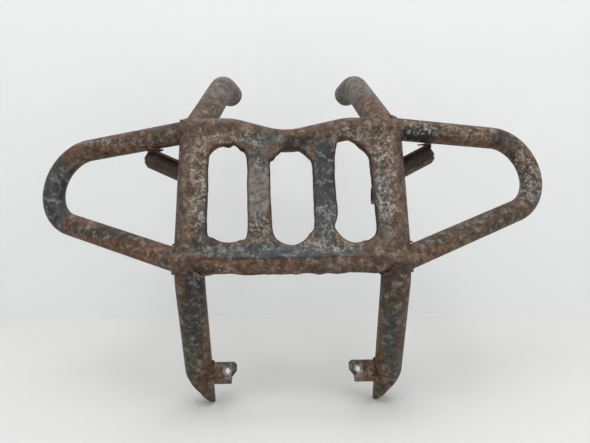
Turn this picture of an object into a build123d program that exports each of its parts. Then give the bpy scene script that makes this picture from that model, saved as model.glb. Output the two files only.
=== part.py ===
from build123d import *
from math import cos, radians, sin, tan
import os

# Front grille guard of a small off-road vehicle: a welded steel tube frame with a pressed grille panel.
# Millimetres, +Z up, the front faces -Y and +X is the right side as seen from the front.
# The origin is midway between the threaded centres of the two lower mounting tabs.

# ---- driving dimensions -------------------------------------------------------------------------
MAIN_OD = 31.8             # 1 1/4 inch tube, the two uprights
MAIN_WALL = 2.0
LIGHT_OD = 25.4            # 1 inch tube, the loops and the cross tubes
LIGHT_WALL = 1.8

UPRIGHT_X = 108.5          # upright centreline from the middle, along the panel
PANEL_FOOT_Y = -46.0       # where the bottom cross tube's level meets the plane of the uprights
PANEL_FOOT_Z = 142.3
PANEL_LEAN = 27.0          # backward lean of the panel from vertical, degrees
KNEE_BELOW = 8.0           # knee corner, measured down the panel from its foot
SHOULDER_UP = 148.0        # corner between the panel stretch and the top leg
KNEE_RADIUS = 60.0
SHOULDER_RADIUS = 53.0
HOOK_RADIUS = 45.0

LEG_BACK = 21.5            # lower leg, backward from straight down, degrees
LEG_SPLAY = {-1: 0.7, 1: 1.7}   # outward lean of the left and right lower legs
LEG_LENGTH = 198.0
TOP_LEG_RISE = 23.0        # top leg, above level
TOP_LEG_IN = 6.8
TOP_LEG_LENGTH = 160.0
HOOK_DROP = 16.0           # last stretch, below level
HOOK_IN = 11.0
HOOK_LENGTH = 38.0

CROSS_LEVEL = 151.5        # top cross tube above the bottom one, along the panel
CROSS_DIP = 17.0           # the top cross tube sags to a shallow vee
DIP_LEFT = 66.0
DIP_RIGHT = 62.0
DIP_CENTRE = -8.0
DIP_SHOULDER_RADIUS = 60.0
DIP_CENTRE_RADIUS = 80.0

COPE_START = 5.0           # the coped ends of the light tubes stop this far from the upright's axis

LOOP_TOP = 152.0           # upper run of a side loop, along the panel
LOOP_RADIUS = 47.5         # return bend at its outer end
LOOP_REACH = {"left": 141.8, "right": 144.4}   # centre of the return bend from the upright
LOOP_SLOPE = 21.2          # climb of the lower run, degrees
LOOP_SWEEP = {"left": 20.7, "right": 16.5}   # backward sweep; the right loop has been knocked forward
LOOP_LIFT = {"left": 0.0, "right": 2.5}      # and a little upward, degrees
LOOP_RISE = {"left": 0.0, "right": 1.5}

FOOT_CUT_TOP = 61.0        # the foot is sawn to a beak: height of the cut on the outer side
FOOT_CUT_STEP = 23.5       # height of the step in the cut
FOOT_CUT_BULGE = (9.5, 40.5)   # the cut is full above the step: a point on it, from the axis at the tip
FOOT_STEP_X = 2.0          # the step is this far inward of the tube's axis
FOOT_CUT_DEPTH = 60.0      # the cut runs right through, front to back

SHEET = 2.5                # pressed grille panel
PANEL_HALF_WIDTH = 110.0
PANEL_BOTTOM = -1.0
PANEL_LIP = 7.5            # depth of the rolled edge round each opening
ROLL_RADIUS = 2.3
ROLL_WALL = 2.4

# Each opening is given by its sides, foot and crown, the place and half width of the crown,
# and the heights of its left and right shoulders below the crown. They are cut by hand, no two alike.
OPENINGS = {
    "left": {
        "sides": (-90.5, -47.5), "foot": 18.0, "crown": 126.5,
        "peak": (-68.0, 5.0), "drops": (16.0, 14.0),
    },
    "middle": {
        "sides": (-22.8, 22.4), "foot": 15.5, "crown": 121.0,
        "peak": (-1.0, 9.5), "drops": (15.0, 15.5),
    },
    "right": {
        "sides": (46.5, 88.0), "foot": 16.5, "crown": 133.0,
        "peak": (59.0, 5.0), "drops": (8.0, 23.0),
    },
}
OPENING_FOOT_RISE = 13.0   # corners at the foot of an opening are cut this high and this wide
OPENING_ROUND = 6.0

TAB_LEAN = 24.0            # the tabs face forward and a little upward
TAB_SHEET = 3.0
TAB_HOLE_X = 77.0
TAB_TOP = 10.5             # above the hole's centre
TAB_BOTTOM = -7.0          # where the stiffening lip turns forward
TAB_LIP = 5.3              # the lip's reach, forward and down
TAB_NOSE_X = 66.0
TAB_ROOT_X = 99.0
TAB_NOSE_CUT = 5.5         # the nose tapers in by this much towards the lip
TAB_NOSE_ROUND = 3.0
NUT_FLATS = 14.0           # M8 hexagon weld nut
NUT_HEIGHT = 6.5
NUT_PILOT = 10.5
NUT_BORE = 6.65            # minor diameter of the M8 thread
NUT_COLLAR = 3.0           # the nut's pilot collar reaches the front of the tab

CHANNEL_WALL = 2.5         # pressed channels behind the uprights
BRACE_HEIGHT = 20.0
BRACE_DEPTH = 11.0
STAY_HEIGHT = 26.0
STAY_DEPTH = 13.0
STAY_HOLE = 9.0            # clearance hole for an M8 bolt
STAY_START = (112.0, 106.0, -6.0)       # across, up and in front of the plane of the uprights
STAY_END = (133.0, 226.0, 176.0)        # centre of its bolt hole
BRACE_PLANE = -22.5        # middle of the channel behind the plane of the uprights
BRACE_SLOPE = 25.6
BRACE_START = (100.0, 99.5)
BRACE_LENGTH = 76.0
BRACE_SNIP = 8.0           # the lower corner of its outer end is snipped off

WELD = 4.0                 # leg of the fillet welds
WELD_GAP = 0.5             # the welds of the cross tubes stop this far behind the panel
TAB_WELD = 3.0
SEAM_SIDE = (20.0, 128.0)  # the panel's side seams run between these heights along it
SEAM_FOOT = 95.0           # half length of its foot seam
SEAM_DEPTH = 6.0

os.makedirs("parts", exist_ok=True)

MAIN_R = MAIN_OD / 2
LIGHT_R = LIGHT_OD / 2
CROSS_END_X = UPRIGHT_X - COPE_START
SIDES = {"left": -1, "right": 1}

lean = radians(PANEL_LEAN)
panel_plane = Plane(
    origin=(0, PANEL_FOOT_Y, PANEL_FOOT_Z),
    x_dir=(1, 0, 0),
    z_dir=(0, -cos(lean), sin(lean)),
)


def on_panel(across, up, forward=0.0):
    """A point given across, up along and in front of the plane of the uprights."""
    return panel_plane.from_local_coords(Vector(across, up, forward))


def heading(sign, rise, inward):
    """A unit direction running backward, climbing by rise and closing by inward, in degrees."""
    up = radians(rise)
    turn = radians(inward)
    return Vector(-sign * sin(turn), cos(turn) * cos(up), cos(turn) * sin(up))


def keep_largest(part):
    return part.solids().sort_by(SortBy.VOLUME)[-1]


def upright_path(sign):
    """Corner points of an upright's centreline, from the foot to the rear end of the hook."""
    back = radians(LEG_BACK)
    splay = radians(LEG_SPLAY[sign])
    knee = on_panel(sign * UPRIGHT_X, -KNEE_BELOW)
    down = Vector(sign * sin(splay), cos(splay) * sin(back), -cos(splay) * cos(back))
    shoulder = on_panel(sign * UPRIGHT_X, SHOULDER_UP)
    hook = shoulder + heading(sign, TOP_LEG_RISE, TOP_LEG_IN) * TOP_LEG_LENGTH
    end = hook + heading(sign, -HOOK_DROP, HOOK_IN) * HOOK_LENGTH
    return [knee + down * LEG_LENGTH, knee, shoulder, hook, end]


def loop_frame(side, sign):
    """The plane of a side loop: x runs outward from the upright and y runs up beside it."""
    sweep_back = radians(LOOP_SWEEP[side])
    outward = Vector(sign * cos(sweep_back), sin(sweep_back) * cos(lean), -sin(sweep_back) * sin(lean))
    upward = panel_plane.y_dir
    lift = radians(LOOP_LIFT[side])
    turned = outward * cos(lift) + upward * sin(lift)
    pivot = on_panel(sign * UPRIGHT_X, LOOP_TOP / 2 + LOOP_RISE[side])
    return Plane(origin=pivot, x_dir=turned, z_dir=outward.cross(upward))


def round_bar(path, radius):
    """A solid round bar along a path, used to cope and to weld one tube to the next."""
    with BuildPart() as bar:
        with BuildSketch(Plane(origin=path @ 0, z_dir=path % 0)):
            Circle(radius)
        sweep(path=path)
    return bar.part


def tube(path, radius, wall):
    """A hollow tube along a path."""
    with BuildPart() as hollow:
        with BuildSketch(Plane(origin=path @ 0, z_dir=path % 0)):
            Circle(radius)
            Circle(radius - wall, mode=Mode.SUBTRACT)
        sweep(path=path)
    return hollow.part


def export(part, name):
    part.label = name
    export_step(part, f"parts/{name}.step")


# ---- centrelines of the tubes --------------------------------------------------------------------
upright_runs = {}
loop_runs = {}
slope = radians(LOOP_SLOPE)
for side, sign in SIDES.items():
    with BuildLine() as upright_run:
        FilletPolyline(*upright_path(sign), radius=[KNEE_RADIUS, SHOULDER_RADIUS, HOOK_RADIUS])
    upright_runs[side] = upright_run.line
    return_centre = (LOOP_REACH[side], LOOP_TOP / 2 - LOOP_RADIUS)
    low_tangent = (return_centre[0] + LOOP_RADIUS * sin(slope), return_centre[1] - LOOP_RADIUS * cos(slope))
    low_end = (COPE_START, low_tangent[1] - (low_tangent[0] - COPE_START) * tan(slope))
    with BuildLine(loop_frame(side, sign)) as loop_run:
        Line(low_end, low_tangent)
        CenterArc(return_centre, LOOP_RADIUS, LOOP_SLOPE - 90, 180 - LOOP_SLOPE)
        Line((LOOP_REACH[side], LOOP_TOP / 2), (COPE_START, LOOP_TOP / 2))
    loop_runs[side] = loop_run.line

# The light cross tubes lie with their fronts flush with the fronts of the uprights.
flush = MAIN_R - LIGHT_R
with BuildLine(panel_plane.offset(flush)) as bottom_run:
    Line((-CROSS_END_X, 0), (CROSS_END_X, 0))
with BuildLine(panel_plane.offset(flush)) as top_run:
    FilletPolyline(
        (-CROSS_END_X, CROSS_LEVEL),
        (-DIP_LEFT, CROSS_LEVEL),
        (DIP_CENTRE, CROSS_LEVEL - CROSS_DIP),
        (DIP_RIGHT, CROSS_LEVEL),
        (CROSS_END_X, CROSS_LEVEL),
        radius=[DIP_SHOULDER_RADIUS, DIP_CENTRE_RADIUS, DIP_SHOULDER_RADIUS],
    )
cross_runs = {"bottom": bottom_run.line, "top": top_run.line}

upright_bars = {side: round_bar(run, MAIN_R) for side, run in upright_runs.items()}
loop_bars = {side: round_bar(run, LIGHT_R) for side, run in loop_runs.items()}
cross_bars = {level: round_bar(run, LIGHT_R) for level, run in cross_runs.items()}

# ---- uprights: one bent tube each, from the sawn foot up to the hook behind ----------------------
for side, sign in SIDES.items():
    foot = upright_path(sign)[0]
    inner = foot.X - sign * MAIN_R
    outer = foot.X + sign * (MAIN_R + 2)
    step = foot.X - sign * FOOT_STEP_X
    front_view = Plane(origin=(0, foot.Y - FOOT_CUT_DEPTH, foot.Z), x_dir=(1, 0, 0), z_dir=(0, -1, 0))
    bent_tube = tube(upright_runs[side], MAIN_R, MAIN_WALL)
    with BuildPart() as upright:
        add(bent_tube)
        with BuildSketch(front_view):
            with BuildLine():
                ThreePointArc(
                    (outer, FOOT_CUT_TOP),
                    (foot.X + sign * FOOT_CUT_BULGE[0], FOOT_CUT_BULGE[1]),
                    (step, FOOT_CUT_STEP),
                )
                middle = foot.X - sign * MAIN_R / 2
                ThreePointArc((step, FOOT_CUT_STEP), (middle, FOOT_CUT_STEP / 2), (inner, 0))
                Polyline((inner, 0), (inner, -FOOT_CUT_TOP), (outer, -FOOT_CUT_TOP), (outer, FOOT_CUT_TOP))
            make_face()
        extrude(amount=-2 * FOOT_CUT_DEPTH, mode=Mode.SUBTRACT)
    export(keep_largest(upright.part), f"{side}_upright_tube")

# ---- side loops: one light tube each, with a return bend, coped to the upright at both ends ------
for side in SIDES:
    bent_tube = tube(loop_runs[side], LIGHT_R, LIGHT_WALL)
    with BuildPart() as loop:
        add(bent_tube)
        add(upright_bars[side], mode=Mode.SUBTRACT)
    export(keep_largest(loop.part), f"{side}_side_loop")

# ---- cross tubes between the uprights, the top one sagging to a shallow vee ----------------------
for level, run in cross_runs.items():
    bent_tube = tube(run, LIGHT_R, LIGHT_WALL)
    with BuildPart() as cross:
        add(bent_tube)
        add(upright_bars["left"], mode=Mode.SUBTRACT)
        add(upright_bars["right"], mode=Mode.SUBTRACT)
    export(keep_largest(cross.part), f"{level}_cross_tube")

# ---- grille panel: one pressed sheet lapped over the fronts of the tubes -------------------------
# The edges of its three openings are rolled back.
def opening_corners(opening):
    left, right = opening["sides"]
    foot, crown = opening["foot"], opening["crown"]
    peak, half = opening["peak"]
    left_drop, right_drop = opening["drops"]
    return [
        (left, foot + OPENING_FOOT_RISE),
        (left, crown - left_drop),
        (peak - half, crown),
        (peak + half, crown),
        (right, crown - right_drop),
        (right, foot + OPENING_FOOT_RISE),
        (right - OPENING_FOOT_RISE, foot),
        (left + OPENING_FOOT_RISE, foot),
    ]


panel_front = panel_plane.offset(MAIN_R + SHEET)
panel_top = CROSS_LEVEL + 1.0
with BuildSketch(panel_front) as holes:
    for opening in OPENINGS.values():
        with BuildLine():
            Polyline(*opening_corners(opening), close=True)
        make_face()
    fillet(holes.vertices(), radius=OPENING_ROUND)

with BuildPart() as panel:
    with BuildSketch(panel_front) as blank:
        Polygon(
            (-PANEL_HALF_WIDTH, PANEL_BOTTOM),
            (PANEL_HALF_WIDTH, PANEL_BOTTOM),
            (PANEL_HALF_WIDTH, panel_top),
            (DIP_RIGHT, panel_top),
            (DIP_CENTRE, panel_top - CROSS_DIP),
            (-DIP_LEFT, panel_top),
            (-PANEL_HALF_WIDTH, panel_top),
            align=None,
        )
        dip_corners = blank.vertices().filter_by_position(Axis.X, -DIP_LEFT - 1, DIP_RIGHT + 1)
        fillet(dip_corners, radius=DIP_SHOULDER_RADIUS)
    extrude(amount=-SHEET)
    with BuildSketch(panel_front):
        add(holes.sketch_local)
        offset(amount=ROLL_WALL, kind=Kind.ARC)
    extrude(amount=-PANEL_LIP)
    with BuildSketch(panel_front):
        add(holes.sketch_local)
    extrude(amount=-PANEL_LIP, mode=Mode.SUBTRACT)
    front_face = panel.faces().filter_by(Axis((0, 0, 0), tuple(panel_plane.z_dir))).sort_by(SortBy.AREA)[-1]
    rims = [edge for wire in front_face.inner_wires() for edge in wire.edges()]
    fillet(rims, radius=ROLL_RADIUS)
export(panel.part, "grille_panel")

# ---- mounting tabs: small pressed brackets welded to the feet of the uprights --------------------
tab_angle = radians(TAB_LEAN)
tab_up = (0, sin(tab_angle), cos(tab_angle))
tab_front = (0, -cos(tab_angle), sin(tab_angle))
face_view = Plane(origin=(0, 0, 0), x_dir=(1, 0, 0), z_dir=tab_front)
nut_seat = face_view.offset(-TAB_SHEET)
tab_outer = TAB_SHEET * sin(radians(45))
tab_section = [
    (TAB_TOP, 0),
    (TAB_BOTTOM, 0),
    (TAB_BOTTOM - TAB_LIP, TAB_LIP),
    (TAB_BOTTOM - TAB_LIP - tab_outer, TAB_LIP - tab_outer),
    (TAB_BOTTOM - TAB_SHEET * tan(radians(22.5)), -TAB_SHEET),
    (TAB_TOP, -TAB_SHEET),
]
for side, sign in SIDES.items():
    start = min(sign * TAB_NOSE_X, sign * TAB_ROOT_X)
    side_view = Plane(origin=(start, 0, 0), x_dir=tab_up, z_dir=(1, 0, 0))
    weld_reach = round_bar(upright_runs[side], MAIN_R + TAB_WELD)
    with BuildPart() as tab:
        with BuildSketch(side_view):
            Polygon(*tab_section, align=None)
        extrude(amount=TAB_ROOT_X - TAB_NOSE_X)
        with BuildSketch(face_view):
            with BuildLine():
                Polyline(
                    (sign * (TAB_NOSE_X + TAB_NOSE_CUT), -2 * TAB_TOP),
                    (sign * (TAB_NOSE_X + TAB_NOSE_CUT), TAB_BOTTOM),
                    (sign * TAB_NOSE_X, 0),
                    (sign * TAB_NOSE_X, TAB_TOP - TAB_NOSE_ROUND),
                    (sign * (TAB_NOSE_X + TAB_NOSE_ROUND), TAB_TOP),
                    (sign * (TAB_NOSE_X + TAB_NOSE_ROUND), 2 * TAB_TOP),
                    (sign * (TAB_NOSE_X - TAB_TOP), 2 * TAB_TOP),
                    (sign * (TAB_NOSE_X - TAB_TOP), -2 * TAB_TOP),
                    close=True,
                )
            make_face()
        extrude(amount=3 * TAB_LIP, both=True, mode=Mode.SUBTRACT)
        with Locations(face_view):
            with Locations((sign * TAB_HOLE_X, 0)):
                Hole(NUT_PILOT / 2)
        add(upright_bars[side], mode=Mode.SUBTRACT)
    export(keep_largest(tab.part), f"{side}_mounting_tab")

    with BuildPart() as bead:
        with BuildSketch(side_view):
            Polygon(*tab_section, align=None)
            offset(amount=TAB_WELD, kind=Kind.ARC)
        extrude(amount=TAB_ROOT_X - TAB_NOSE_X)
        add(weld_reach, mode=Mode.INTERSECT)
        add(upright_bars[side], mode=Mode.SUBTRACT)
        add(tab.part, mode=Mode.SUBTRACT)
    export(keep_largest(bead.part), f"{side}_tab_weld")

    with BuildPart() as nut:
        with BuildSketch(nut_seat):
            with Locations((sign * TAB_HOLE_X, 0)):
                RegularPolygon(NUT_FLATS / 2, 6, major_radius=False)
        extrude(amount=-NUT_HEIGHT)
        with BuildSketch(nut_seat):
            with Locations((sign * TAB_HOLE_X, 0)):
                Circle(NUT_PILOT / 2)
        extrude(amount=NUT_COLLAR)
        with BuildSketch(nut_seat):
            with Locations((sign * TAB_HOLE_X, 0)):
                Circle(NUT_BORE / 2)
        extrude(amount=NUT_HEIGHT, both=True, mode=Mode.SUBTRACT)
    export(nut.part, f"{side}_weld_nut")

# ---- rear stays: pressed channels, open inward, running back from the uprights -------------------
def stay_line(sign):
    """The ends of a stay's centreline."""
    across, up, forward = STAY_START
    end_x, end_y, end_z = STAY_END
    return on_panel(sign * across, up, forward), Vector(sign * end_x, end_y, end_z)


def stay_web(sign):
    """The plane of a stay's web: x runs back along the stay and z points outboard."""
    begin, finish = stay_line(sign)
    run_dir = (finish - begin).normalized()
    sideways = Vector(sign, 0, 0)
    return Plane(origin=begin, x_dir=run_dir, z_dir=sideways - run_dir * sideways.dot(run_dir))


stay_envelopes = {}
for side, sign in SIDES.items():
    begin, finish = stay_line(sign)
    length = (finish - begin).length
    web_view = stay_web(sign)
    with BuildPart() as envelope:
        with BuildSketch(web_view):
            with Locations((length / 2, 0)):
                Rectangle(length, STAY_HEIGHT)
            with Locations((length, 0)):
                Circle(STAY_HEIGHT / 2)
        extrude(amount=STAY_DEPTH / 2, both=True)
    stay_envelopes[side] = envelope.part
    with BuildPart() as stay:
        add(envelope.part)
        with BuildSketch(web_view.offset(STAY_DEPTH / 2 - CHANNEL_WALL)):
            with Locations((length / 2, 0)):
                Rectangle(length, STAY_HEIGHT - 2 * CHANNEL_WALL)
            with Locations((length, 0)):
                Circle(STAY_HEIGHT / 2 - CHANNEL_WALL)
        extrude(amount=-STAY_DEPTH, mode=Mode.SUBTRACT)
        with Locations(web_view):
            with Locations((length, 0)):
                Hole(STAY_HOLE / 2)
        add(upright_bars[side], mode=Mode.SUBTRACT)
    export(keep_largest(stay.part), f"{side}_rear_stay")

# ---- loop braces: pressed channels, open to the front, from the uprights up to the loops ---------
braces = {}
brace_envelopes = {}
for side, sign in SIDES.items():
    tilt = radians(BRACE_SLOPE + LOOP_LIFT[side])
    begin = on_panel(sign * BRACE_START[0], BRACE_START[1], BRACE_PLANE)
    run_dir = Vector(sign * cos(tilt), 0, 0) + panel_plane.y_dir * sin(tilt)
    back_view = Plane(origin=begin, x_dir=run_dir, z_dir=panel_plane.z_dir)
    with BuildPart() as envelope:
        with BuildSketch(back_view):
            with Locations((BRACE_LENGTH / 2, 0)):
                Rectangle(BRACE_LENGTH, BRACE_HEIGHT + 2 * WELD)
        extrude(amount=BRACE_DEPTH / 2 + WELD, both=True)
    brace_envelopes[side] = envelope.part
    with BuildPart() as brace:
        with BuildSketch(back_view) as brace_outline:
            with Locations((BRACE_LENGTH / 2, 0)):
                Rectangle(BRACE_LENGTH, BRACE_HEIGHT)
            snipped = brace_outline.vertices().sort_by(Axis.X)[-2:].sort_by(Axis.Y)[-1 if sign < 0 else 0]
            chamfer(snipped, length=BRACE_SNIP)
        extrude(amount=BRACE_DEPTH / 2, both=True)
        with BuildSketch(back_view.offset(-BRACE_DEPTH / 2 + CHANNEL_WALL)):
            with Locations((BRACE_LENGTH / 2, 0)):
                Rectangle(BRACE_LENGTH, BRACE_HEIGHT - 2 * CHANNEL_WALL)
        extrude(amount=BRACE_DEPTH, mode=Mode.SUBTRACT)
        add(upright_bars[side], mode=Mode.SUBTRACT)
        add(stay_envelopes[side], mode=Mode.SUBTRACT)
        add(loop_bars[side], mode=Mode.SUBTRACT)
    braces[side] = keep_largest(brace.part)
    export(braces[side], f"{side}_loop_brace")

# ---- welds: fillets where one tube is coped to the next ------------------------------------------
def fillet_weld(first, first_radius, second, second_radius, beside, clear_of):
    """The metal within a weld's leg of both tubes, outside both of them and on one side of a plane."""
    first_reach = round_bar(first, first_radius + WELD)
    second_reach = round_bar(second, second_radius + WELD)
    first_bar = round_bar(first, first_radius)
    second_bar = round_bar(second, second_radius)
    with BuildPart() as ring:
        add(first_reach)
        add(second_reach, mode=Mode.INTERSECT)
        add(first_bar, mode=Mode.SUBTRACT)
        add(second_bar, mode=Mode.SUBTRACT)
        for neighbour in clear_of:
            add(neighbour, mode=Mode.SUBTRACT)
        split(bisect_by=beside, keep=Keep.TOP)
    return ring.part.solids().sort_by(SortBy.VOLUME)


behind_panel = Plane(origin=on_panel(0, 0, MAIN_R - WELD_GAP), z_dir=-panel_plane.z_dir)
for side, sign in SIDES.items():
    outboard = Plane(origin=(sign * UPRIGHT_X, 0, 0), z_dir=(sign, 0, 0))
    clear_of = [panel.part, stay_envelopes[side], braces[side]]
    beads = fillet_weld(upright_runs[side], MAIN_R, loop_runs[side], LIGHT_R, outboard, clear_of)[-2:]
    lower, upper = beads.sort_by(Axis.Z)
    export(lower, f"{side}_loop_lower_weld")
    export(upper, f"{side}_loop_upper_weld")
    for level, run in cross_runs.items():
        beads = fillet_weld(upright_runs[side], MAIN_R, run, LIGHT_R, behind_panel, [])
        export(beads[-1], f"{side}_{level}_cross_weld")

# The panel is welded along its sides to the uprights and along its foot to the bottom cross tube.
for side, sign in SIDES.items():
    with BuildPart() as seam:
        with BuildSketch(panel_front):
            with Locations((sign * (PANEL_HALF_WIDTH + WELD / 2), sum(SEAM_SIDE) / 2)):
                Rectangle(WELD, SEAM_SIDE[1] - SEAM_SIDE[0])
        extrude(amount=-SEAM_DEPTH)
        add(upright_bars[side], mode=Mode.SUBTRACT)
    export(keep_largest(seam.part), f"{side}_panel_seam_weld")
with BuildPart() as seam:
    with BuildSketch(panel_front):
        with Locations((0, PANEL_BOTTOM - WELD / 2)):
            Rectangle(2 * SEAM_FOOT, WELD)
    extrude(amount=-SEAM_DEPTH)
    add(cross_bars["bottom"], mode=Mode.SUBTRACT)
export(keep_largest(seam.part), "bottom_panel_seam_weld")

# ---- welds of the channels behind the uprights ---------------------------------------------------
for side, sign in SIDES.items():
    upright_reach = round_bar(upright_runs[side], MAIN_R + WELD)
    loop_reach = round_bar(loop_runs[side], LIGHT_R + WELD)
    with BuildPart() as bead:
        with BuildSketch(stay_web(sign)):
            with Locations((STAY_HEIGHT, 0)):
                Rectangle(2 * STAY_HEIGHT, STAY_HEIGHT + 2 * WELD)
        extrude(amount=STAY_DEPTH / 2 + WELD, both=True)
        add(upright_reach, mode=Mode.INTERSECT)
        add(upright_bars[side], mode=Mode.SUBTRACT)
        add(stay_envelopes[side], mode=Mode.SUBTRACT)
        add(braces[side], mode=Mode.SUBTRACT)
    export(keep_largest(bead.part), f"{side}_stay_weld")
    with BuildPart() as bead:
        add(loop_reach)
        add(brace_envelopes[side], mode=Mode.INTERSECT)
        add(loop_bars[side], mode=Mode.SUBTRACT)
        add(braces[side], mode=Mode.SUBTRACT)
    export(keep_largest(bead.part), f"{side}_brace_weld")
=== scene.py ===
import math

import bmesh
import bpy
from mathutils import Matrix, Vector, noise


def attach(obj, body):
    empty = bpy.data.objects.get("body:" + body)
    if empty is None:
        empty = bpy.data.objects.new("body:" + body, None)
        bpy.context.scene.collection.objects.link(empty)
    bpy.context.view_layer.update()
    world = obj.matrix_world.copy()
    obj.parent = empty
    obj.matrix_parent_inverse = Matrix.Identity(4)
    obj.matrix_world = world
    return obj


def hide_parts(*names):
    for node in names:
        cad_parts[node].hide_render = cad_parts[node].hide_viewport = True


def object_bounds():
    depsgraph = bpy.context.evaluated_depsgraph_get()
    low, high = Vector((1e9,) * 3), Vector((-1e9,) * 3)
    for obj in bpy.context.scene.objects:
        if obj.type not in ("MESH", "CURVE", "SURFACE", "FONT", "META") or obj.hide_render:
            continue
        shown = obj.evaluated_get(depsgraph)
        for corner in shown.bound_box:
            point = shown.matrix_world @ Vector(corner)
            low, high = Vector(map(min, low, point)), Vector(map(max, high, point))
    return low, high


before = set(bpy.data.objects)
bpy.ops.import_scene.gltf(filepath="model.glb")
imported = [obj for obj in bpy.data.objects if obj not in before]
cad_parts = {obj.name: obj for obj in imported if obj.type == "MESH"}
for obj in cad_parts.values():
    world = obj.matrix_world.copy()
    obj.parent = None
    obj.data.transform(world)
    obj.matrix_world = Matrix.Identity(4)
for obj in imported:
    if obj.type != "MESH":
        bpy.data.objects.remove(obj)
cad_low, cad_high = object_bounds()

# ---- Floor and wall ------------------------------------------------------------------------------
# The guard stands on the tips of its sawn feet on a pale painted board, with a pale board behind it.
# The wall board is painted on its front only and hides nothing from behind.
FLOOR_Z = cad_low.z
WALL_Y = 0.326
BOARD_WIDTH = 7.0
FLOOR_DEPTH = 4.0
WALL_HEIGHT = 2.6
BOARD_CLOUDS = 2.2         # scale of the uneven tone
BOARD_TOOTH = 260.0        # scale of the paint's fine tooth


def deselect_all():
    for chosen in list(bpy.context.selected_objects):
        chosen.select_set(False)


def link_into(tree, source, target):
    tree.links.new(source, target)


def new_material(name):
    """An empty material with a Principled shader, and its tree."""
    made = bpy.data.materials.new(name)
    made.use_nodes = True
    return made, made.node_tree, made.node_tree.nodes["Principled BSDF"]


def board_material(name, colour, tint, one_sided=False):
    """Painted board: a faint uneven tone with a slight tooth. A one-sided board is clear from behind."""
    made, tree, shader = new_material(name)
    place = tree.nodes.new("ShaderNodeTexCoord")
    cloud = tree.nodes.new("ShaderNodeTexNoise")
    cloud.inputs["Scale"].default_value = BOARD_CLOUDS
    cloud.inputs["Detail"].default_value = 6.0
    link_into(tree, place.outputs["Object"], cloud.inputs["Vector"])
    blend = tree.nodes.new("ShaderNodeMix")
    blend.data_type = "RGBA"
    blend.inputs["A"].default_value = (*colour, 1)
    blend.inputs["B"].default_value = (*tint, 1)
    link_into(tree, cloud.outputs["Fac"], blend.inputs["Factor"])
    link_into(tree, blend.outputs["Result"], shader.inputs["Base Color"])
    tooth = tree.nodes.new("ShaderNodeTexNoise")
    tooth.inputs["Scale"].default_value = BOARD_TOOTH
    link_into(tree, place.outputs["Object"], tooth.inputs["Vector"])
    bump = tree.nodes.new("ShaderNodeBump")
    bump.inputs["Strength"].default_value = 0.12
    bump.inputs["Distance"].default_value = 0.001
    link_into(tree, tooth.outputs["Fac"], bump.inputs["Height"])
    link_into(tree, bump.outputs["Normal"], shader.inputs["Normal"])
    shader.inputs["Roughness"].default_value = 0.72
    if one_sided:
        side = tree.nodes.new("ShaderNodeNewGeometry")
        clear = tree.nodes.new("ShaderNodeBsdfTransparent")
        either = tree.nodes.new("ShaderNodeMixShader")
        link_into(tree, side.outputs["Backfacing"], either.inputs[0])
        link_into(tree, shader.outputs["BSDF"], either.inputs[1])
        link_into(tree, clear.outputs["BSDF"], either.inputs[2])
        link_into(tree, either.outputs["Shader"], tree.nodes["Material Output"].inputs["Surface"])
    return made


def board(name, corner_low, corner_high):
    """A flat board between two opposite corners."""
    deselect_all()
    middle = (corner_low + corner_high) / 2
    span = corner_high - corner_low
    bpy.ops.mesh.primitive_plane_add(size=1, location=middle)
    made = bpy.context.object
    made.name = name
    if span.z > span.y:
        bpy.ops.object.mode_set(mode="EDIT")
        bpy.ops.mesh.select_all(action="SELECT")
        bpy.ops.transform.rotate(value=-math.pi / 2, orient_axis="X", center_override=middle)
        bpy.ops.transform.resize(value=(span.x, 1, span.z), center_override=middle)
        bpy.ops.object.mode_set(mode="OBJECT")
    else:
        made.scale = (span.x, span.y, 1)
    bpy.ops.object.transform_apply(location=True, rotation=True, scale=True)
    return made


half = BOARD_WIDTH / 2
corner = Vector((-half, WALL_Y, FLOOR_Z))
far_corner = Vector((half, WALL_Y, FLOOR_Z))
floor = board("floor_board", corner - Vector((0, FLOOR_DEPTH, 0)), far_corner)
floor.data.materials.append(board_material("floor_paint", (0.60, 0.605, 0.58), (0.70, 0.70, 0.68)))
wall = board("wall_board", corner, far_corner + Vector((0, 0, WALL_HEIGHT)))
wall_paint = board_material("wall_paint", (0.74, 0.74, 0.735), (0.80, 0.80, 0.80), one_sided=True)
wall.data.materials.append(wall_paint)

# ---- Camera and light ----------------------------------------------------------------------------
# A short lens stands a little above the guard and looks slightly down on its front.
# Large soft lamps hang overhead and to both sides, as in a plain product studio.
CAMERA_PLACE = Vector((-0.01151, -0.59493, 0.28225))
CAMERA_FORWARD = Vector((0.02458, 0.98447, -0.17382))
CAMERA_UP = Vector((0.01045, 0.17362, 0.98476))
SENSOR = 36.0
LENS = 32.95
AIR_COLOUR = (0.93, 0.95, 1.0, 1)
AIR_STRENGTH = 0.52

camera_data = bpy.data.cameras.new("studio_camera")
camera_data.sensor_width = SENSOR
camera_data.lens = LENS
camera_data.clip_start = 0.01
camera = bpy.data.objects.new("studio_camera", camera_data)
bpy.context.scene.collection.objects.link(camera)
right = CAMERA_FORWARD.cross(CAMERA_UP).normalized()
up = right.cross(CAMERA_FORWARD).normalized()
back = -CAMERA_FORWARD.normalized()
camera.matrix_world = Matrix((
    (right.x, up.x, back.x, CAMERA_PLACE.x),
    (right.y, up.y, back.y, CAMERA_PLACE.y),
    (right.z, up.z, back.z, CAMERA_PLACE.z),
    (0, 0, 0, 1),
))
bpy.context.scene.camera = camera


def lamp(name, place, target, size, power):
    """A square soft lamp facing a point."""
    data = bpy.data.lights.new(name, "AREA")
    data.shape = "SQUARE"
    data.size = size
    data.energy = power
    made = bpy.data.objects.new(name, data)
    bpy.context.scene.collection.objects.link(made)
    made.location = place
    made.rotation_euler = (Vector(target) - Vector(place)).to_track_quat("-Z", "Y").to_euler()


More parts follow.
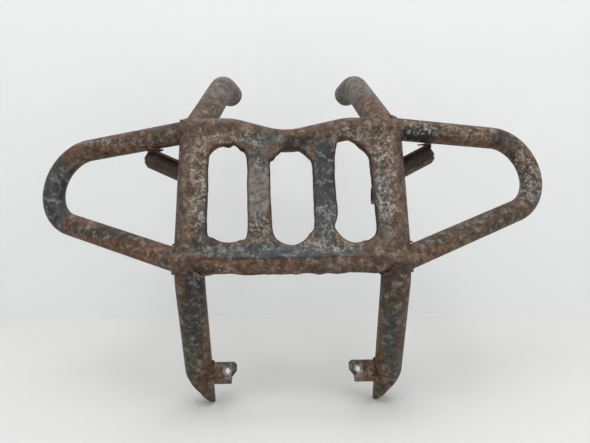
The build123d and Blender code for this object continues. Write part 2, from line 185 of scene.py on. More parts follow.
heart = (0, 0, 0.15)
foot_of_wall = (0, 0.3, 0.1)
lamp("overhead_lamp", (-0.10, -0.75, 1.75), heart, size=1.3, power=21)
lamp("left_lamp", (-1.5, -1.2, 0.9), heart, size=1.1, power=5)
lamp("right_lamp", (1.6, -1.2, 1.0), heart, size=1.1, power=9)
lamp("high_back_lamp", (0.3, 0.05, 1.9), foot_of_wall, size=0.8, power=4)

world = bpy.data.worlds.new("studio_air")
world.use_nodes = True
air = world.node_tree.nodes["Background"]
air.inputs["Color"].default_value = AIR_COLOUR
air.inputs["Strength"].default_value = AIR_STRENGTH
bpy.context.scene.world = world
bpy.context.scene.view_settings.view_transform = "Standard"

# ---- Uprights ------------------------------------------------------------------------------------
# One 31.8 mm steel tube on each side, bent from the sawn foot up past the panel and back to a hook.
# The guard was painted dark once, and most of it has rusted through: brown rust all over here, with
# greenish old paint and a dark scorched patch on the legs, and dusty grey ends above.
RUST_BROWN = (0.098, 0.062, 0.040)
RUST_RED = (0.105, 0.048, 0.030)
RUST_ORANGE = (0.27, 0.105, 0.028)
DUST_GREY = (0.135, 0.132, 0.118)
OLD_PAINT = (0.008, 0.010, 0.014)
BLOOM = (0.40, 0.385, 0.29)
OLIVE = (0.050, 0.056, 0.036)
SLATE = (0.036, 0.044, 0.052)
LILAC = (0.26, 0.245, 0.28)
SHADOW_RUST = (0.026, 0.018, 0.013)
RUST_WARM = (0.155, 0.066, 0.030)
PALE_SCUFF = (0.26, 0.245, 0.215)
BLOOM_SPECK = (0.17, 0.19, 0.15)
PIT = (0.02, 0.015, 0.012)
GRAINS = {                 # scale, detail, roughness and warp of each noise in the finish
    "broad": (28, 5, 0.6, 0.6),
    "patches": (62, 6, 0.7, 0.5),
    "middle": (95, 6, 0.65, 0.3),
    "blotch": (125, 7, 0.78, 0.4),
    "chips": (170, 6, 0.75, 0.8),
    "fine": (320, 5, 0.7, 0.0),
    "speck": (760, 3, 0.6, 0.0),
}
RAGGEDNESS = 0.9           # how far noise moves the edge of a patch
RELIEF = 0.0012            # depth of the rust's relief, metres
SHEEN = 0.22


def noise_node(tree, vector, scale, detail, rough, warp):
    made = tree.nodes.new("ShaderNodeTexNoise")
    made.inputs["Scale"].default_value = scale
    made.inputs["Detail"].default_value = detail
    made.inputs["Roughness"].default_value = rough
    made.inputs["Distortion"].default_value = warp
    link_into(tree, vector, made.inputs["Vector"])
    return made.outputs["Fac"]


def maths(tree, operation, first, second=None):
    made = tree.nodes.new("ShaderNodeMath")
    made.operation = operation
    for slot, value in enumerate((first, second)):
        if value is None:
            continue
        if isinstance(value, (int, float)):
            made.inputs[slot].default_value = value
        else:
            link_into(tree, value, made.inputs[slot])
    return made.outputs["Value"]


def ramp(tree, factor, low, high, out_low=0.0, out_high=1.0):
    """Maps a range of a value smoothly onto another."""
    made = tree.nodes.new("ShaderNodeMapRange")
    made.interpolation_type = "SMOOTHSTEP"
    made.inputs["From Min"].default_value = low
    made.inputs["From Max"].default_value = high
    made.inputs["To Min"].default_value = out_low
    made.inputs["To Max"].default_value = out_high
    link_into(tree, factor, made.inputs["Value"])
    return made.outputs["Result"]


def tinted(tree, under, colour, factor):
    """One colour laid over another where the factor says."""
    made = tree.nodes.new("ShaderNodeMix")
    made.data_type = "RGBA"
    if isinstance(under, tuple):
        made.inputs["A"].default_value = (*under, 1)
    else:
        link_into(tree, under, made.inputs["A"])
    if isinstance(colour, tuple):
        made.inputs["B"].default_value = (*colour, 1)
    else:
        link_into(tree, colour, made.inputs["B"])
    link_into(tree, factor, made.inputs["Factor"])
    return made.outputs["Result"]


def zone(tree, vector, centre, size, edge_noise, soft=0.35):
    """A ragged patch: 1 inside an ellipsoid about a place, 0 outside."""
    shift = tree.nodes.new("ShaderNodeMapping")
    shift.vector_type = "POINT"
    scale = [1 / s for s in size]
    shift.inputs["Scale"].default_value = scale
    shift.inputs["Location"].default_value = [-c * k for c, k in zip(centre, scale)]
    link_into(tree, vector, shift.inputs["Vector"])
    reach = tree.nodes.new("ShaderNodeVectorMath")
    reach.operation = "LENGTH"
    link_into(tree, shift.outputs["Vector"], reach.inputs[0])
    ragged = maths(tree, "MULTIPLY_ADD", edge_noise, RAGGEDNESS)
    ragged.node.inputs[2].default_value = -RAGGEDNESS / 2
    worn = maths(tree, "ADD", reach.outputs["Value"], ragged)
    return ramp(tree, worn, 1 + soft / 2, 1 - soft / 2)


def weathered(name, ground=RUST_BROWN, second=RUST_RED, bloom=0.0, orange=0.35, paint=0.25,
              rough=0.62, dust=0.5, zones=(), tilt=None, edge=None):
    """Rusting painted steel. A zone is (colour, centre, half sizes, strength, grain).

    Zones lie in the row frame, or in the frame given by tilt, an angle about X and a place.
    Edge names an attribute that is 1 on a bare cut edge."""
    made, tree, shader = new_material(name)
    place = tree.nodes.new("ShaderNodeTexCoord").outputs["Object"]
    zone_place = place
    if tilt:
        turn = tree.nodes.new("ShaderNodeMapping")
        turn.inputs["Rotation"].default_value = (tilt[0], 0, 0)
        turn.inputs["Location"].default_value = tilt[1]
        link_into(tree, place, turn.inputs["Vector"])
        zone_place = turn.outputs["Vector"]
    broad, patches, middle, blotch, chips, fine, speck = (
        noise_node(tree, place, *grain) for grain in GRAINS.values()
    )
    shade = tinted(tree, ground, second, ramp(tree, broad, 0.42, 0.60))
    shade = tinted(tree, shade, DUST_GREY, ramp(tree, middle, 0.50, 0.68, 0, dust))
    shade = tinted(tree, shade, RUST_WARM, ramp(tree, patches, 0.53, 0.63, 0, orange * 1.4))
    shade = tinted(tree, shade, SHADOW_RUST, ramp(tree, chips, 0.48, 0.36, 0, 0.75))
    shade = tinted(tree, shade, RUST_ORANGE, ramp(tree, fine, 0.58, 0.72, 0, orange))
    dark_spots = maths(tree, "MULTIPLY", ramp(tree, chips, 0.50, 0.42), ramp(tree, broad, 0.40, 0.56))
    shade = tinted(tree, shade, OLD_PAINT, maths(tree, "MULTIPLY", dark_spots, paint))
    gloss = dark_spots
    crumbs = maths(tree, "MULTIPLY", ramp(tree, fine, 0.46, 0.56), ramp(tree, chips, 0.44, 0.54))
    bloom_shade = tinted(tree, BLOOM, BLOOM_SPECK, ramp(tree, speck, 0.44, 0.60))
    for colour, centre, size, strength, grain in zones:
        patch = zone(tree, zone_place, centre, size, middle)
        if grain == "fine":
            patch = maths(tree, "MULTIPLY", patch, crumbs)
        elif grain == "broken":
            patch = maths(tree, "MULTIPLY", patch, ramp(tree, chips, 0.42, 0.52))
        patch = maths(tree, "MULTIPLY", patch, strength)
        shade = tinted(tree, shade, bloom_shade if colour == BLOOM else colour, patch)
        if colour in (OLD_PAINT, SLATE):
            gloss = maths(tree, "MAXIMUM", gloss, patch)
    shade = tinted(tree, shade, SHADOW_RUST, ramp(tree, blotch, 0.50, 0.42, 0, 0.75))
    shade = tinted(tree, shade, PALE_SCUFF, ramp(tree, blotch, 0.53, 0.61, 0, dust))
    if bloom:
        flecks = maths(tree, "MULTIPLY", crumbs, ramp(tree, broad, 0.46, 0.62))
        shade = tinted(tree, shade, bloom_shade, maths(tree, "MULTIPLY", flecks, bloom))
    if edge:
        bare = tree.nodes.new("ShaderNodeAttribute")
        bare.attribute_name = edge
        burr = ramp(tree, bare.outputs["Fac"], 0.62, 0.98)
        scale = tinted(tree, SHADOW_RUST, RUST_ORANGE, ramp(tree, middle, 0.48, 0.68, 0, 0.45))
        shade = tinted(tree, shade, scale, burr)
    pits = ramp(tree, speck, 0.36, 0.28, 0, 0.55)
    shade = tinted(tree, shade, PIT, pits)
    link_into(tree, shade, shader.inputs["Base Color"])
    dull = maths(tree, "MULTIPLY_ADD", fine, 0.25)
    dull.node.inputs[2].default_value = rough - 0.12
    shine = maths(tree, "MULTIPLY", gloss, -0.20)
    link_into(tree, maths(tree, "ADD", dull, shine), shader.inputs["Roughness"])
    relief = maths(tree, "ADD", maths(tree, "MULTIPLY", middle, 0.6), maths(tree, "MULTIPLY", fine, 0.5))
    relief = maths(tree, "ADD", relief, maths(tree, "MULTIPLY", speck, 0.25))
    bump = tree.nodes.new("ShaderNodeBump")
    bump.inputs["Strength"].default_value = 0.55
    bump.inputs["Distance"].default_value = RELIEF
    link_into(tree, relief, bump.inputs["Height"])
    link_into(tree, bump.outputs["Normal"], shader.inputs["Normal"])
    shader.inputs["Specular IOR Level"].default_value = SHEEN
    return made


def refinish(node, finish):
    """Gives a carried node a better finish in every material slot."""
    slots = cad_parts[node].data.materials
    if not slots:
        slots.append(finish)
    for number in range(len(slots)):
        slots[number] = finish


upright_zones = {
    "left": (
        (DUST_GREY, (-0.092, 0.17, 0.335), (0.03, 0.085, 0.05), 0.6, "broad"),
        (OLIVE, (-0.112, -0.01, 0.02), (0.05, 0.06, 0.075), 0.75, "broad"),
        (SHADOW_RUST, (-0.118, -0.05, 0.10), (0.014, 0.04, 0.05), 0.5, "broken"),
        (OLD_PAINT, (-0.100, -0.050, 0.080), (0.014, 0.03, 0.060), 0.95, "broken"),
        (OLD_PAINT, (-0.098, -0.058, 0.127), (0.014, 0.02, 0.022), 0.9, "broken"),
        (DUST_GREY, (-0.103, -0.050, 0.075), (0.010, 0.03, 0.045), 0.5, "fine"),
        (RUST_WARM, (-0.095, -0.005, 0.03), (0.006, 0.05, 0.06), 0.8, "broken"),
        (RUST_RED, (-0.098, 0.004, -0.005), (0.02, 0.03, 0.022), 0.7, "broad"),
        (BLOOM, (-0.097, -0.03, 0.21), (0.010, 0.03, 0.06), 0.8, "fine"),
    ),
    "right": (
        (DUST_GREY, (0.092, 0.17, 0.335), (0.03, 0.085, 0.05), 0.6, "broad"),
        (OLIVE, (0.112, -0.01, 0.03), (0.05, 0.06, 0.085), 0.7, "broad"),
        (SHADOW_RUST, (0.110, -0.05, 0.11), (0.02, 0.04, 0.035), 0.6, "broken"),
        (SLATE, (0.110, -0.040, 0.055), (0.014, 0.03, 0.04), 0.8, "broken"),
        (RUST_RED, (0.119, -0.03, 0.09), (0.008, 0.04, 0.06), 0.8, "broken"),
        (RUST_WARM, (0.096, -0.005, 0.02), (0.006, 0.05, 0.07), 0.8, "broken"),
        (RUST_RED, (0.098, 0.004, -0.005), (0.02, 0.03, 0.022), 0.6, "broad"),
        (BLOOM, (0.103, -0.02, 0.21), (0.012, 0.04, 0.07), 0.9, "fine"),
    ),
}
for side, zones in upright_zones.items():
    finish = weathered(f"{side}_upright_rust", bloom=0.10, zones=zones)
    refinish(f"{side}_upright_tube", finish)

# ---- Side loops ----------------------------------------------------------------------------------
# One 25.4 mm tube each, bent round in a loop and coped to the upright at both ends.
# Rust brown, with grey-blue old paint left round the outer bend and on the tops of the lower runs.
loop_zones = {
    "left": (
        (SLATE, (-0.280, 0.06, 0.205), (0.022, 0.10, 0.040), 0.9, "broad"),
        (OLD_PAINT, (-0.276, 0.06, 0.190), (0.018, 0.10, 0.030), 0.8, "broken"),
        (OLIVE, (-0.262, 0.05, 0.232), (0.03, 0.10, 0.018), 0.5, "broken"),
        (OLD_PAINT, (-0.19, 0.03, 0.166), (0.05, 0.10, 0.010), 0.8, "broken"),
        (RUST_WARM, (-0.17, 0.02, 0.248), (0.10, 0.10, 0.016), 0.75, "broken"),
        (RUST_WARM, (-0.19, 0.03, 0.150), (0.09, 0.10, 0.014), 0.6, "broken"),
        (SLATE, (-0.14, 0.02, 0.281), (0.03, 0.10, 0.006), 0.6, "broken"),
        # Painted highlight: the thin lilac band stands for the pinkish sheen of the lamps along the
        # upper run.
        (LILAC, (-0.20, 0.03, 0.266), (0.07, 0.10, 0.005), 0.6, "fine"),
    ),
    "right": (
        (OLD_PAINT, (0.142, 0.02, 0.272), (0.024, 0.10, 0.010), 0.95, "broad"),
        (BLOOM, (0.145, 0.02, 0.279), (0.022, 0.10, 0.007), 0.9, "fine"),
        (SLATE, (0.25, 0.05, 0.262), (0.02, 0.10, 0.012), 0.85, "broken"),
        (OLD_PAINT, (0.284, 0.06, 0.205), (0.013, 0.10, 0.024), 0.8, "broken"),
        (BLOOM, (0.287, 0.06, 0.225), (0.022, 0.10, 0.035), 0.85, "fine"),
        (BLOOM, (0.20, 0.03, 0.275), (0.05, 0.10, 0.006), 0.6, "fine"),
        (OLIVE, (0.20, 0.03, 0.165), (0.10, 0.10, 0.02), 0.45, "broken"),
        (RUST_ORANGE, (0.155, 0.02, 0.145), (0.02, 0.10, 0.014), 0.6, "fine"),
        (RUST_WARM, (0.20, 0.03, 0.258), (0.06, 0.10, 0.009), 0.7, "broken"),
        (RUST_WARM, (0.18, 0.02, 0.148), (0.08, 0.10, 0.012), 0.6, "broken"),
    ),
}
for side, zones in loop_zones.items():
    finish = weathered(f"{side}_loop_rust", bloom=0.12 if side == "left" else 0.25, zones=zones)
    refinish(f"{side}_side_loop", finish)

# ---- Cross tubes ---------------------------------------------------------------------------------
# Two 25.4 mm tubes join the uprights: a straight one below and one that sags to a shallow vee above.
# Both are plain brown rust, orange along the lower one, with a pale scuff near its left end.
LEAN = math.radians(27.0)   # the panel leans back between the uprights
PANEL_FOOT = Vector((0, -0.046, 0.1423))   # on the lower tube's level, in the plane of the uprights
panel_up = Vector((0, math.sin(LEAN), math.cos(LEAN)))
panel_front = Vector((0, -math.cos(LEAN), math.sin(LEAN)))
panel_matrix = Matrix((
    (1, panel_up.x, panel_front.x, PANEL_FOOT.x),
    (0, panel_up.y, panel_front.y, PANEL_FOOT.y),
    (0, panel_up.z, panel_front.z, PANEL_FOOT.z),
    (0, 0, 0, 1),
))


def at_panel(across, up_along, forward):
    """A place in the row frame from panel millimetres."""
    return panel_matrix @ Vector((across / 1000, up_along / 1000, forward / 1000))


def copy_of(node, name):
    """A selected copy of a carried node's mesh, with its corners merged."""
    deselect_all()
    made = bpy.data.objects.new(name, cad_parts[node].data.copy())
    bpy.context.scene.collection.objects.link(made)
    made.select_set(True)
    bpy.context.view_layer.objects.active = made
    bpy.ops.object.mode_set(mode="EDIT")
    bpy.ops.mesh.select_all(action="SELECT")
    bpy.ops.mesh.remove_doubles(threshold=0.00001)
    bpy.ops.object.mode_set(mode="OBJECT")
    return made


def work_over(piece, name, kind, settings):
    """Adds one modifier to the active piece and applies it."""
    step = piece.modifiers.new(name, kind)
    for setting, value in settings.items():
        setattr(step, setting, value)
    bpy.ops.object.modifier_apply(modifier=name)


def stand_for(piece, node, finish):
    """Finishes a reworked copy and puts it in the place of its node."""
    bpy.ops.object.shade_smooth()
    piece.data.materials.clear()
    piece.data.materials.append(finish)
    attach(piece, "root")
    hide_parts(node)


finish = weathered("bottom_tube_rust", bloom=0.05, orange=0.5, zones=(
    (RUST_ORANGE, at_panel(-60, -6, 10), (0.035, 0.02, 0.008), 0.35, "fine"),
    (BLOOM, at_panel(-78, -8, 12), (0.018, 0.012, 0.004), 0.7, "fine"),
    (OLD_PAINT, at_panel(-92, -9, 8), (0.010, 0.014, 0.006), 0.8, "broken"),
))
METAL_GRAIN = 0.0009       # cube size of a reworked copy
dented = copy_of("bottom_cross_tube", "dented_cross_tube")
dents = bpy.data.textures.new("tube_dents", "CLOUDS")
dents.noise_scale = 0.021
for name, kind, settings in (
    ("lump", "REMESH", {"mode": "VOXEL", "voxel_size": METAL_GRAIN}),
    ("ease", "SMOOTH", {"factor": 0.5, "iterations": 5}),
    ("dents", "DISPLACE", {"texture": dents, "texture_coords": "LOCAL", "direction": "Z",
                           "strength": 0.0055, "mid_level": 0.55}),
):
    work_over(dented, name, kind, settings)
stand_for(dented, "bottom_cross_tube", finish)
finish = weathered("top_tube_rust", bloom=0.15, orange=0.35)
refinish("top_cross_tube", finish)

# ---- Mounting tabs and weld nuts -----------------------------------------------------------------
# A small folded tab of 3 mm sheet is welded to each foot, with an M8 weld nut seated in it from behind.
# The sheet is dusty grey with rust at its root; the nut is bare dull steel.
for side, sign in (("left", -1), ("right", 1)):
    finish = weathered(f"{side}_tab_rust", ground=(0.13, 0.118, 0.10), second=(0.12, 0.09, 0.07),
                       bloom=0.25, orange=0.3, paint=0.5, rough=0.5, zones=(
        (RUST_RED, (sign * 0.095, 0.0, 0.0), (0.012, 0.02, 0.02), 0.8, "broad"),
        (RUST_ORANGE, (sign * 0.088, 0.0, -0.010), (0.02, 0.02, 0.006), 0.6, "fine"),
        (OLD_PAINT, (sign * 0.068, 0.0, 0.002), (0.004, 0.01, 0.012), 0.7, "broken"),
    ))
    refinish(f"{side}_mounting_tab", finish)
finish = weathered("nut_steel", ground=(0.36, 0.35, 0.33), second=(0.22, 0.20, 0.18),
                   orange=0.2, paint=0.3, rough=0.45)
for side in ("left", "right"):
    refinish(f"{side}_weld_nut", finish)

# ---- Stays and braces ----------------------------------------------------------------------------
# Pressed channels behind the uprights: a long stay runs back to the vehicle on each side, and a
# short brace props each loop. The braces' near-black inside is painted shade in the channel, and the
# warm band on their lower lip is painted light where the lip catches the lamps.
for side, sign in (("left", -1), ("right", 1)):
    # Painted light: the near-black ground stands for shade inside the channel, and the warm lip zone for
    # its lit lower edge.
    lit_lip = (sign * 0.143, -0.005, 0.233)
    finish = weathered(f"{side}_brace_rust_and_painted_shade", ground=(0.022, 0.013, 0.007), second=(0.045, 0.024, 0.011),
                       orange=0.25, paint=0.6, dust=0.08,
                       zones=((RUST_WARM, lit_lip, (0.05, 0.03, 0.004), 0.5, "broken"),))
    refinish(f"{side}_loop_brace", finish)
    finish = weathered(f"{side}_stay_rust", ground=(0.07, 0.05, 0.035), second=(0.10, 0.055, 0.03),
                       bloom=0.05, orange=0.45, paint=0.6, dust=0.3)
    refinish(f"{side}_rear_stay", finish)

# ---- Grille skin ---------------------------------------------------------------------------------
# The panel is one pressed sheet, dressed down over the fronts of the four tubes and welded to them.
# Its three openings were cut by hand, and their edges are rolled back. A dished mark lies below the
# left rib. Shapes here are in panel millimetres until the mesh is turned into its place.
MAIN_R = 15.9
LIGHT_R = 12.7
UPRIGHT_X = 108.5
FLUSH = MAIN_R - LIGHT_R
KNEE_R = 60.0
KNEE_START = 19.0
SHOULDER_R = 53.0
SHOULDER_START = 128.7
CROSS_LEVEL = 151.5
SKIN_HALF_WIDTH = 124.0
SKIN_LOW = -12.0
SKIN_HIGH = 166.0
SKIN_STEP = 1.3
SKIN_PROUD = 1.5           # the skin stands this far off the tubes
SHEET_DEPTH = 13.2         # the flat of the sheet, in front of the plane of the uprights
SHEET_WALL = 1.8
ROLL = 3.4                 # radius of the rolled edge round an opening
MILLI = 0.001
FAR_BACK = -40.0           # depth where there is no tube
VEE_LEFT = (-66, -0.293)   # where the sagging top tube starts to fall or ends its rise, and its slope
VEE_RIGHT = (62, 0.243)
TUCKED = 0.9               # the skin's border dives this far into the tubes
RIB_PITCH = 46.0
RIB_CROWN = 0.5
DIMPLE = (-33, 9.5)        # centre of the dished mark
DIMPLE_HALF = (13.5, 8.5)
DIMPLE_DEPTH = 0.9
DIMPLE_RIM = 0.5
TRIM_TOP = 12.2            # the skin ends this far above the top tube's centreline
TRIM_SIDE = 14.5           # and this far outside an upright's
LIP_RINGS = 3
openings = {
    "left": ((-83, 126), (-90, 115), (-90, 80), (-89.5, 32), (-82, 24), (-74, 20.5), (-64, 19.5),
             (-55, 22), (-48, 28), (-48, 70), (-49.5, 115), (-57, 125), (-63.5, 131), (-68, 128.5),
             (-76, 129)),
    "middle": ((-20.5, 112.5), (-10.5, 122.5), (0, 124.5), (8, 123), (17, 115.5), (22, 105.5),
             (22.5, 70), (22.5, 37), (17, 27), (10, 19.5), (-1, 16), (-12, 19), (-20, 28), (-22, 50),
             (-23.5, 104.5)),
    "right": ((51, 132.5), (54.5, 137), (61, 136.5), (69, 132.5), (79, 122.5), (84.5, 113.5), (86, 85),
             (88, 55), (88, 32), (84, 24), (79, 20.5), (74, 19.5), (65, 17.5), (54, 22), (47, 30),
             (44.5, 36), (48, 50), (46.5, 80), (47.5, 115.5)),
}


def closed_curve(points, steps=7):
    """A smooth closed line through a few points, slightly ragged, as a hand cut leaves it."""
    line = []
    count = len(points)
    for index in range(count):
        before, start, end, after = (Vector(points[(index + k) % count]) for k in (-1, 0, 1, 2))
        for step in range(steps):
            part = step / steps
            bend = 2 * before - 5 * start + 4 * end - after
            twist = 3 * start - before - 3 * end + after
            curve = (2 * start + (end - before) * part + bend * part ** 2 + twist * part ** 3) / 2
            wander = 0.45 * noise.noise(Vector((curve.x * 0.21, curve.y * 0.21, 3.7)))
            wander += 0.22 * noise.noise(Vector((curve.x * 0.7, curve.y * 0.7, 9.1)))
            line.append(curve + Vector((wander, -wander)))
    return line


outlines = {name: closed_curve(points) for name, points in openings.items()}
REACH = 6.0                # how far from an opening its edge still shapes the sheet


def beside_opening(line, spot):
    """Whether a spot is inside the box round an opening."""
    return (min(p.x for p in line) - REACH < spot.x < max(p.x for p in line) + REACH
            and min(p.y for p in line) - REACH < spot.y < max(p.y for p in line) + REACH)


def nearest(line, spot):
    """The closest place on a closed line to a spot."""
    best = None
    for index, end in enumerate(line):
        start = line[index - 1]
        along = end - start
        part = max(0.0, min(1.0, (spot - start).dot(along) / max(along.length_squared, 1e-9)))
        place = start + along * part
        gap = (spot - place).length
        if best is None or gap < best[0]:
            best = (gap, place)
    return best


def inside(line, spot):
    crossings = 0
    for index, end in enumerate(line):
        start = line[index - 1]
        if (start.y > spot.y) != (end.y > spot.y):
            if spot.x < start.x + (end.x - start.x) * (spot.y - start.y) / (end.y - start.y):
                crossings += 1
    return crossings % 2 == 1


def soft_highest(values, ease):
    """The highest of some values, with the corner between them eased."""
    top = max(values)
    return top + ease * math.log(sum(math.exp((value - top) / ease) for value in values))


def cross_level(across):
    """The height of the sagging top tube's centreline."""
    left_fall = CROSS_LEVEL + VEE_LEFT[1] * (across - VEE_LEFT[0])
    right_rise = CROSS_LEVEL + VEE_RIGHT[1] * (across - VEE_RIGHT[0])
    vee = soft_highest((left_fall, right_rise), 4.0)
    return -soft_highest((-CROSS_LEVEL, -vee), 0.9)


def upright_front(across, along, extra):
    """How far forward an upright's front stands, with its bends at the knee and the shoulder."""
    beside = abs(abs(across) - UPRIGHT_X)
    if beside > MAIN_R + 2:
        return FAR_BACK
    height = math.sqrt(max((MAIN_R + extra) ** 2 - beside ** 2, 2.0))
    if along < KNEE_START:
        return math.sqrt(max((KNEE_R + height) ** 2 - (KNEE_START - along) ** 2, 0)) - KNEE_R
    if along > SHOULDER_START:
        return math.sqrt(max((SHOULDER_R + height) ** 2 - (along - SHOULDER_START) ** 2, 0)) - SHOULDER_R
    return height


def light_front(gap, extra):
    if abs(gap) > LIGHT_R + 2:
        return FAR_BACK
    return FLUSH + math.sqrt(max((LIGHT_R + extra) ** 2 - gap ** 2, 2.0))


def skin_front(across, along):
    """The depth of the skin's face at a place on the panel."""
    wave = noise.noise(Vector((across * 0.045, along * 0.045, 1.3))) * 0.55
    wave += noise.noise(Vector((across * 0.17, along * 0.17, 5.1))) * 0.22
    edge_wander = 2.6 * noise.noise(Vector((across * 0.11, along * 0.11, 7.7)))
    over_upright = max(0.0, min(1.0, (abs(across) - 90) / 10))
    foot_fade = (along + 1.5 + 8.0 * over_upright + 0.5 * edge_wander) / (2.6 + 7.0 * over_upright)
    top_fade = (cross_level(across) + 11.5 - along) / (5.0 + 6.0 * over_upright)
    side_fade = (UPRIGHT_X + 13.0 + 0.5 * edge_wander - abs(across)) / 7.0
    fade = max(0.0, min(1.0, foot_fade, top_fade, side_fade))
    fade = fade * fade * (3 - 2 * fade)
    extra = (SKIN_PROUD + TUCKED) * fade - TUCKED
    sheet = SHEET_DEPTH + wave
    crown = RIB_CROWN * math.sin(math.pi * (across / RIB_PITCH + 0.5)) ** 2
    oval = ((across - DIMPLE[0]) / DIMPLE_HALF[0]) ** 2 + ((along - DIMPLE[1]) / DIMPLE_HALF[1]) ** 2
    dish = DIMPLE_RIM * math.exp(-((oval - 1.15) / 0.22) ** 2) - DIMPLE_DEPTH * max(0.0, 1 - oval) ** 0.5
    fronts = [upright_front(across, along, extra), light_front(along, extra),
              light_front(along - cross_level(across), extra)]
    if 0 < along < cross_level(across) and abs(across) < UPRIGHT_X:
        fronts.append(sheet + crown)
    return soft_highest(fronts, 0.8) - 0.2 + 0.35 * wave * fade + dish * fade


columns = round(2 * SKIN_HALF_WIDTH / SKIN_STEP)
rows = round((SKIN_HIGH - SKIN_LOW) / SKIN_STEP)
deselect_all()
bpy.ops.mesh.primitive_grid_add(x_subdivisions=columns, y_subdivisions=rows, size=1,
                                location=(0, (SKIN_LOW + SKIN_HIGH) / 2, 0))
skin = bpy.context.object
skin.name = "grille_skin"
skin.scale = (2 * SKIN_HALF_WIDTH, SKIN_HIGH - SKIN_LOW, 1)
bpy.ops.object.transform_apply(location=True, rotation=True, scale=True)
cloth = bmesh.new()
cloth.from_mesh(skin.data)
cut_away = []
for face in cloth.faces:
    middle = face.calc_center_median()
    spot = Vector((middle.x, middle.y))
    in_hole = any(beside_opening(line, spot) and inside(line, spot) for line in outlines.values())
    beyond_top = spot.y > cross_level(spot.x) + TRIM_TOP
    beyond_side = abs(spot.x) > UPRIGHT_X + TRIM_SIDE
    if in_hole or beyond_top or beyond_side:
        cut_away.append(face)
bmesh.ops.delete(cloth, geom=cut_away, context="FACES")
rim = []
bare_edge = cloth.verts.layers.float.new("bare_edge")
for vert in cloth.verts:
    spot = Vector((vert.co.x, vert.co.y))
    gap, place = REACH, spot
    for line in outlines.values():
        if beside_opening(line, spot):
            gap, place = min((gap, place), nearest(line, spot), key=lambda found: found[0])
    if vert.is_boundary and gap < 2 * SKIN_STEP:
        spot = place
        gap = 0.0
        rim.append(vert)
    drop = 0.0
    if gap < ROLL:
        drop = ROLL - math.sqrt(ROLL ** 2 - (ROLL - gap) ** 2)
    vert[bare_edge] = max(0.0, 1 - gap / REACH)
    vert.co = (spot.x, spot.y, skin_front(spot.x, spot.y) - drop)
rim_set = set(rim)
lip_edges = [edge for edge in cloth.edges if edge.is_boundary and rim_set.issuperset(edge.verts)]
for ring in range(LIP_RINGS):
    grown = bmesh.ops.extrude_edge_only(cloth, edges=lip_edges)
    lip_edges = [item for item in grown["geom"] if isinstance(item, bmesh.types.BMEdge)]
    for vert in {corner for edge in lip_edges for corner in edge.verts}:
        depth = 1.3 + 0.9 * noise.noise(Vector((vert.co.x * 0.13, vert.co.y * 0.13, 2.0)))
        vert.co.z -= depth
        vert[bare_edge] = 1.0
cloth.to_mesh(skin.data)
cloth.free()
for vert in skin.data.vertices:
    vert.co *= MILLI
skin.data.transform(panel_matrix)
deselect_all()
skin.select_set(True)
bpy.context.view_layer.objects.active = skin
bpy.ops.object.mode_set(mode="EDIT")
bpy.ops.mesh.select_all(action="SELECT")
bpy.ops.mesh.normals_make_consistent(inside=False)
bpy.ops.object.mode_set(mode="OBJECT")
if sum(face.normal.dot(panel_front) for face in skin.data.polygons) < 0:
    skin.data.flip_normals()
wall_thickness = skin.modifiers.new("sheet", "SOLIDIFY")
wall_thickness.thickness = SHEET_WALL * MILLI
wall_thickness.offset = -1
bpy.ops.object.modifier_apply(modifier="sheet")
bpy.ops.object.shade_smooth()

# Positions of its patches are across, up along the panel and forward, in millimetres.
panel_turn = (LEAN - math.pi / 2, Vector((0, -PANEL_FOOT.dot(panel_up), -PANEL_FOOT.dot(panel_front))))


def mark(colour, across, along, wide, tall, strength, grain):
    """A patch on the panel's face, through the whole depth of the sheet."""
    centre = (across * MILLI, along * MILLI, 0.014)
    return colour, centre, (wide * MILLI, tall * MILLI, 0.03), strength, grain


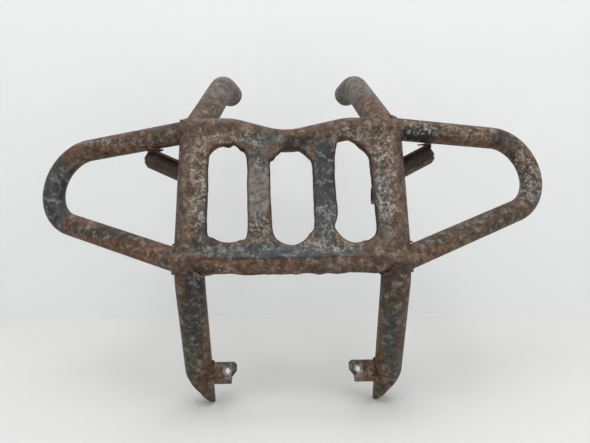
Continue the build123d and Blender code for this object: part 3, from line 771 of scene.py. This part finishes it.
skin_finish = weathered("grille_rust", bloom=0.12, paint=0.2, tilt=panel_turn, edge="bare_edge", zones=(
    mark(DUST_GREY, -35, 78, 13, 34, 0.75, "broad"),
    mark(SLATE, -35, 112, 12, 15, 0.8, "broken"),
    mark(OLD_PAINT, -32, 108, 8, 8, 0.6, "broken"),
    mark(OLD_PAINT, -35, 36, 12, 15, 0.85, "broken"),
    mark(SLATE, 33, 70, 13, 60, 0.95, "broad"),
    mark(OLD_PAINT, 36, 92, 13, 40, 0.9, "broken"),
    mark(OLD_PAINT, 18, 128, 26, 9, 0.9, "broken"),
    mark(OLD_PAINT, 36, 118, 12, 12, 0.95, "broad"),
    mark(SLATE, -10, 8, 85, 9, 0.85, "broad"),
    mark(SLATE, -33, 10, 14, 8, 0.7, "broad"),
    mark(PALE_SCUFF, -24, 15, 7, 3, 0.5, "fine"),
    mark(OLD_PAINT, -90, 18, 14, 14, 0.9, "broken"),
    mark(SLATE, -94, 60, 6, 40, 0.8, "broken"),
    mark(SLATE, 95, 75, 7, 45, 0.8, "broken"),
    mark(SLATE, -30, 134, 24, 7, 0.7, "broad"),
    mark(DUST_GREY, -30, 132, 18, 6, 0.6, "broad"),
    mark(LILAC, 99, 75, 7, 50, 0.65, "fine"),
    mark(BLOOM, -98, 85, 10, 60, 0.85, "fine"),
    mark(BLOOM, 101, 90, 11, 55, 0.9, "fine"),
    mark(BLOOM, -60, 136, 32, 8, 0.75, "fine"),
    mark(BLOOM, 72, 140, 28, 8, 0.7, "fine"),
    mark(BLOOM, -38, 118, 8, 14, 0.8, "fine"),
    mark(BLOOM, 30, 14, 34, 9, 0.8, "fine"),
    mark(BLOOM, -80, 10, 24, 6, 0.7, "fine"),
    mark(BLOOM, -35, 35, 12, 18, 0.7, "fine"),
    mark(BLOOM, 34, 45, 12, 22, 0.45, "fine"),
    mark(RUST_BROWN, -118, 80, 7, 90, 0.9, "broad"),
    mark(RUST_BROWN, 119, 80, 8, 90, 0.8, "broad"),
))
skin.data.materials.append(skin_finish)
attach(skin, "root")
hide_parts("grille_panel", "left_panel_seam_weld", "right_panel_seam_weld",
            "bottom_panel_seam_weld")

# ---- Weld beads ----------------------------------------------------------------------------------
# Every joint is closed with a heavy hand-laid bead, painted over once and now rusting like the tubes.
# The stay and brace beads behind the uprights stayed more orange.
ripple = bpy.data.textures.new("weld_ripple", "CLOUDS")
ripple.noise_scale = 0.0045
ripple.noise_depth = 2
joints = {
    "loop_lower": "plain", "loop_upper": "plain", "bottom_cross": "plain", "top_cross": "plain",
    "tab": "orange", "stay": "orange", "brace": "orange",
}
bead_finishes = {
    "plain": weathered("weld_brown", second=(0.115, 0.066, 0.045), bloom=0.15, orange=0.45, paint=0.35),
    "orange": weathered("weld_orange", ground=(0.13, 0.06, 0.03), second=(0.10, 0.06, 0.04),
                        orange=0.7, paint=0.3),
}
for side in ("left", "right"):
    for joint, look in joints.items():
        node = f"{side}_{joint}_weld"
        bead = copy_of(node, f"{side}_{joint}_bead")
        sunk = 0.58 if joint in ("tab", "stay") else 0.85   # the other beads are worn almost flat
        for name, kind, settings in (
            ("lump", "REMESH", {"mode": "VOXEL", "voxel_size": METAL_GRAIN}),
            ("ease", "SMOOTH", {"factor": 0.6, "iterations": 24}),
            ("puddle", "DISPLACE", {"texture": ripple, "texture_coords": "LOCAL",
                                    "strength": 0.0034, "mid_level": sunk}),
        ):
            work_over(bead, name, kind, settings)
        stand_for(bead, node, bead_finishes[look])
